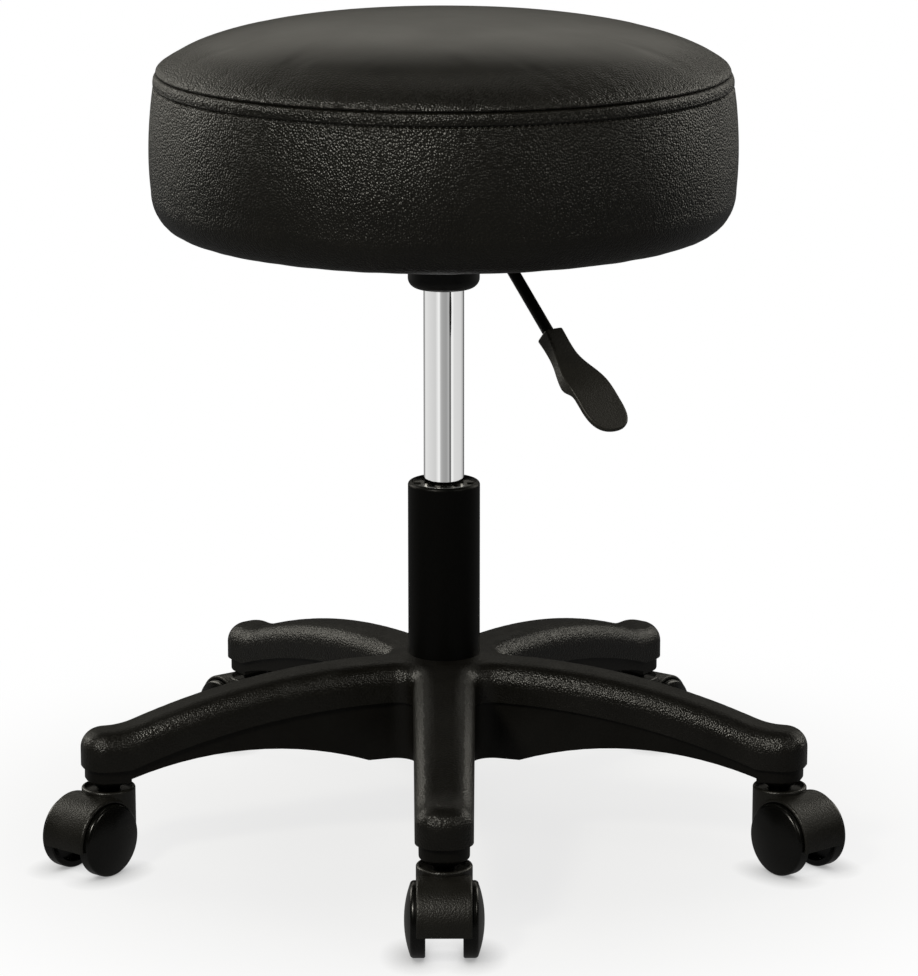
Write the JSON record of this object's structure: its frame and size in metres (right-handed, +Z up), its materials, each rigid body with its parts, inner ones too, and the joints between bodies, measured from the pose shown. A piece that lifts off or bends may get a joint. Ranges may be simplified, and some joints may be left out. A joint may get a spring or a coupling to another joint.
{
  "type": "adjustable swivel stool",
  "caption": "Round padded swivel stool on a height-adjustable gas-spring column with a release lever and a star base on twin-wheel castors.",
  "frame": {"origin": "on the floor, on the axis of the column", "axes": "+Z up along the column, -Y towards the front arm, +X to the right seen from the front"},
  "size_m": [0.548, 0.5331, 0.5729],
  "materials": {
    "nylon": "fine-textured moulded nylon",
    "black_tube": "semi-gloss black powder coat",
    "bush": "moulded acetal",
    "steel": "bright zinc-plated steel",
    "aluminium": "turned",
    "rubber": "moulded rubber",
    "chrome": "bright chrome plate",
    "black_steel": "black paint on pressed steel",
    "seat_cover": "black coated fabric with a fine pebble grain",
    "foam": "open-cell foam",
    "plywood": "raw plywood",
    "dust_cloth": "thin black non-woven cloth",
    "handle": "moulded polypropylene",
    "castor_hood": "textured moulded nylon",
    "castor_wheel": "smooth moulded nylon"
  },
  "bodies": {
    "base": {"star_base": "nylon", "column_tube": "black_tube", "guide_bush": "bush", "bearing_lower_race": "steel", "castor_stems": "steel", "castor_grip_rings": "steel"},
    "bearing": {"bearing_cage": "bush", "bearing_balls": "steel"},
    "rod": {"piston_rod": "steel", "piston": "aluminium", "piston_seal": "rubber", "bearing_upper_race": "steel", "bump_stop": "rubber", "rod_washer": "steel", "rod_clip": "steel"},
    "seat": {"gas_cylinder": "chrome", "rod_guide": "bush", "valve_plug": "aluminium", "taper_socket": "black_steel", "seat_plate": "black_steel", "lever_pin": "steel", "plate_bolts": "steel", "plate_washers": "steel", "tee_nuts": "steel", "seat_board": "plywood", "seat_foam": "foam", "seat_top_panel": "seat_cover", "seat_side_band": "seat_cover", "dust_cover": "dust_cloth"},
    "lever": {"lever_rod": "black_steel", "lever_handle": "handle"},
    "button": {"release_button": "steel"},
    "castor_1": {"castor_hood_1": "castor_hood", "castor_axle_1": "steel"},
    "wheel_left_1": {"castor_wheel_left_1": "castor_wheel"},
    "wheel_right_1": {"castor_wheel_right_1": "castor_wheel"},
    "castor_2": {"castor_hood_2": "castor_hood", "castor_axle_2": "steel"},
    "wheel_left_2": {"castor_wheel_left_2": "castor_wheel"},
    "wheel_right_2": {"castor_wheel_right_2": "castor_wheel"},
    "castor_3": {"castor_hood_3": "castor_hood", "castor_axle_3": "steel"},
    "wheel_left_3": {"castor_wheel_left_3": "castor_wheel"},
    "wheel_right_3": {"castor_wheel_right_3": "castor_wheel"},
    "castor_4": {"castor_hood_4": "castor_hood", "castor_axle_4": "steel"},
    "wheel_left_4": {"castor_wheel_left_4": "castor_wheel"},
    "wheel_right_4": {"castor_wheel_right_4": "castor_wheel"},
    "castor_5": {"castor_hood_5": "castor_hood", "castor_axle_5": "steel"},
    "wheel_left_5": {"castor_wheel_left_5": "castor_wheel"},
    "wheel_right_5": {"castor_wheel_right_5": "castor_wheel"}
  },
  "joints": [
    {"name": "seat_swivel", "type": "hinge", "parent": "base", "child": "rod", "pos_m": [0, 0, 0.06], "axis": [0, 0, 1], "continuous": true},
    {"name": "bearing_roll", "type": "hinge", "parent": "base", "child": "bearing", "pos_m": [0, 0, 0.0609], "axis": [0, 0, 1], "continuous": true},
    {"name": "height_slide", "type": "slide", "parent": "rod", "child": "seat", "axis": [0, 0, 1], "range_m": [-0.12, 0], "stiffness_N_per_m": 400, "springref_m": 0.5},
    {"name": "lever_lift", "type": "hinge", "parent": "seat", "child": "lever", "pos_m": [0.02136, -0.02898, 0.422], "axis": [-0.8049, -0.5934, 0], "range_deg": [0, 7], "stiffness_Nm_per_rad": 2, "springref_deg": -2.86},
    {"name": "button_press", "type": "slide", "parent": "seat", "child": "button", "axis": [0, 0, -1], "range_m": [0, 0.0046]},
    {"name": "castor_1_swivel", "type": "hinge", "parent": "base", "child": "castor_1", "pos_m": [0, -0.242, 0.0558], "axis": [0, 0, 1], "continuous": true},
    {"name": "wheel_left_1_roll", "type": "hinge", "parent": "castor_1", "child": "wheel_left_1", "pos_m": [0, -0.2613, 0.025], "axis": [1, 0, 0], "continuous": true},
    {"name": "wheel_right_1_roll", "type": "hinge", "parent": "castor_1", "child": "wheel_right_1", "pos_m": [0, -0.2613, 0.025], "axis": [1, 0, 0], "continuous": true},
    {"name": "castor_2_swivel", "type": "hinge", "parent": "base", "child": "castor_2", "pos_m": [0.23016, -0.07478, 0.0558], "axis": [0, 0, 1], "continuous": true},
    {"name": "wheel_left_2_roll", "type": "hinge", "parent": "castor_2", "child": "wheel_left_2", "pos_m": [0.24212, -0.08993, 0.025], "axis": [0.7848, 0.6198, 0], "continuous": true},
    {"name": "wheel_right_2_roll", "type": "hinge", "parent": "castor_2", "child": "wheel_right_2", "pos_m": [0.24212, -0.08993, 0.025], "axis": [0.7848, 0.6198, 0], "continuous": true},
    {"name": "castor_3_swivel", "type": "hinge", "parent": "base", "child": "castor_3", "pos_m": [0.14224, 0.19578, 0.0558], "axis": [0, 0, 1], "continuous": true},
    {"name": "wheel_left_3_roll", "type": "hinge", "parent": "castor_3", "child": "wheel_left_3", "pos_m": [0.15359, 0.2114, 0.025], "axis": [-0.809, 0.5878, 0], "continuous": true},
    {"name": "wheel_right_3_roll", "type": "hinge", "parent": "castor_3", "child": "wheel_right_3", "pos_m": [0.15359, 0.2114, 0.025], "axis": [-0.809, 0.5878, 0], "continuous": true},
    {"name": "castor_4_swivel", "type": "hinge", "parent": "base", "child": "castor_4", "pos_m": [-0.14224, 0.19578, 0.0558], "axis": [0, 0, 1], "continuous": true},
    {"name": "wheel_left_4_roll", "type": "hinge", "parent": "castor_4", "child": "wheel_left_4", "pos_m": [-0.15359, 0.2114, 0.025], "axis": [-0.809, -0.5878, 0], "continuous": true},
    {"name": "wheel_right_4_roll", "type": "hinge", "parent": "castor_4", "child": "wheel_right_4", "pos_m": [-0.15359, 0.2114, 0.025], "axis": [-0.809, -0.5878, 0], "continuous": true},
    {"name": "castor_5_swivel", "type": "hinge", "parent": "base", "child": "castor_5", "pos_m": [-0.23016, -0.07478, 0.0558], "axis": [0, 0, 1], "continuous": true},
    {"name": "wheel_left_5_roll", "type": "hinge", "parent": "castor_5", "child": "wheel_left_5", "pos_m": [-0.24212, -0.08993, 0.025], "axis": [0.7848, -0.6198, 0], "continuous": true},
    {"name": "wheel_right_5_roll", "type": "hinge", "parent": "castor_5", "child": "wheel_right_5", "pos_m": [-0.24212, -0.08993, 0.025], "axis": [0.7848, -0.6198, 0], "continuous": true}
  ],
  "couplings": [
    {"joint": "bearing_roll", "follows": "seat_swivel", "ratio": 0.5},
    {"joint": "button_press", "follows": "lever_lift", "m_per_rad": 0.036}
  ]
}
